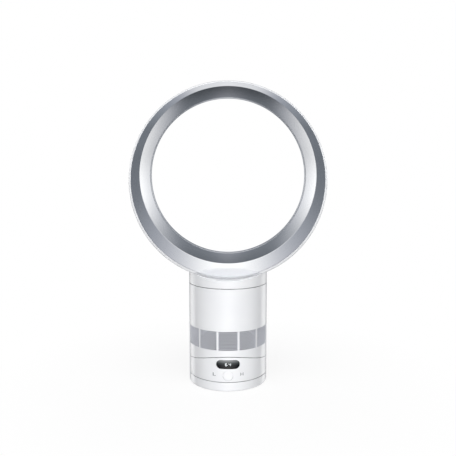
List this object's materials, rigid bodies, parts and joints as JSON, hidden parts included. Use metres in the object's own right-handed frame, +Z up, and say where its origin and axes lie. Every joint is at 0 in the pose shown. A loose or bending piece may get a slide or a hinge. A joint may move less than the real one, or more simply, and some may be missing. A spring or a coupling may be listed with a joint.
{
  "type": "bladeless fan",
  "caption": "Bladeless table fan: a tall flared ring on a round pillar that tilts on a curved saddle and swivels on its base, with a display, a push button and a hidden impeller.",
  "frame": {"origin": "centre of the base on the surface that it stands on, on the swivel axis", "axes": "+Z up along the pillar, front with display and button towards -Y, +X to the right as seen from the front"},
  "size_m": [0.356, 0.145, 0.552],
  "materials": {
    "casing_white": "moulded white ABS, gloss",
    "loop_silver": "ABS with a fine metallic silver coat",
    "display_smoke": "smoked acrylic, polished",
    "display_digits": "black display block with white lit segments",
    "foot_rubber": "soft moulded rubber",
    "seal_rubber": "moulded elastomer",
    "steel": "bright zinc-plated or ground steel",
    "acetal": "natural acetal",
    "grey_plastic": "moulded glass-filled nylon, matt",
    "dark_plastic": "moulded black nylon, matt",
    "board_laminate": "green glass-epoxy laminate",
    "motor_can": "drawn steel can, plated",
    "winding": "copper winding on steel laminations",
    "magnet": "sintered ferrite",
    "foam": "open-cell acoustic foam"
  },
  "bodies": {
    "lower_base": {"lower_base_shell": "casing_white", "base_plate": "grey_plastic", "base_screws": "steel", "rubber_feet": "foot_rubber", "cable_gland": "seal_rubber", "thrust_ring": "acetal", "sun_gear": "acetal", "gear_screws": "steel"},
    "upper_base": {"control_housing": "casing_white", "housing_floor": "grey_plastic", "housing_screws": "steel", "display_lens": "display_smoke", "display_module": "display_digits", "control_board": "board_laminate", "control_screws": "steel", "button_switch": "dark_plastic", "power_board": "board_laminate", "power_screws": "steel", "oscillation_motor": "motor_can", "motor_screws": "steel"},
    "oscillation_pinion": {"drive_pinion": "acetal", "pinion_shaft": "steel"},
    "button": {"power_button": "casing_white"},
    "fan_body": {"body_shell": "casing_white", "inlet_panels": "casing_white", "body_floor": "grey_plastic", "body_floor_screws": "steel", "tilt_runners": "acetal", "runner_screws": "steel", "floor_foam": "foam", "foam_lining": "foam", "impeller_housing": "grey_plastic", "housing_mount": "seal_rubber", "diffuser": "grey_plastic", "motor_bearings": "steel", "motor_stator": "winding", "motor_cap": "grey_plastic", "neck_ring": "dark_plastic", "neck_seal": "seal_rubber"},
    "impeller_set": {"impeller": "dark_plastic", "motor_shaft": "steel", "motor_rotor": "magnet"},
    "loop": {"loop_collar": "casing_white", "loop_casing": "casing_white", "loop_front_trim": "loop_silver", "loop_inner_ring": "loop_silver", "slot_spacers": "casing_white"}
  },
  "joints": [
    {"name": "base_swivel", "type": "hinge", "parent": "lower_base", "child": "upper_base", "pos_m": [0, 0, 0.0183], "axis": [0, 0, 1], "range_deg": [-35, 35]},
    {"name": "pinion_spin", "type": "hinge", "parent": "upper_base", "child": "oscillation_pinion", "pos_m": [0, 0.032, 0.0236], "axis": [0, 0, 1], "range_deg": [-142, 142]},
    {"name": "button_press", "type": "slide", "parent": "upper_base", "child": "button", "axis": [0, 1, 0], "range_m": [0, 0.0008], "stiffness_N_per_m": 2500},
    {"name": "fan_tilt", "type": "hinge", "parent": "upper_base", "child": "fan_body", "pos_m": [0, 0, 0.218], "axis": [1, 0, 0], "range_deg": [-10, 10]},
    {"name": "impeller_spin", "type": "hinge", "parent": "fan_body", "child": "impeller_set", "pos_m": [0, 0, 0.1328], "axis": [0, 0, 1], "continuous": true},
    {"name": "loop_twist", "type": "hinge", "parent": "fan_body", "child": "loop", "pos_m": [0, 0, 0.1873], "axis": [0, 0, 1], "range_deg": [0, 25]}
  ],
  "couplings": [
    {"joint": "pinion_spin", "follows": "base_swivel", "ratio": 4}
  ]
}
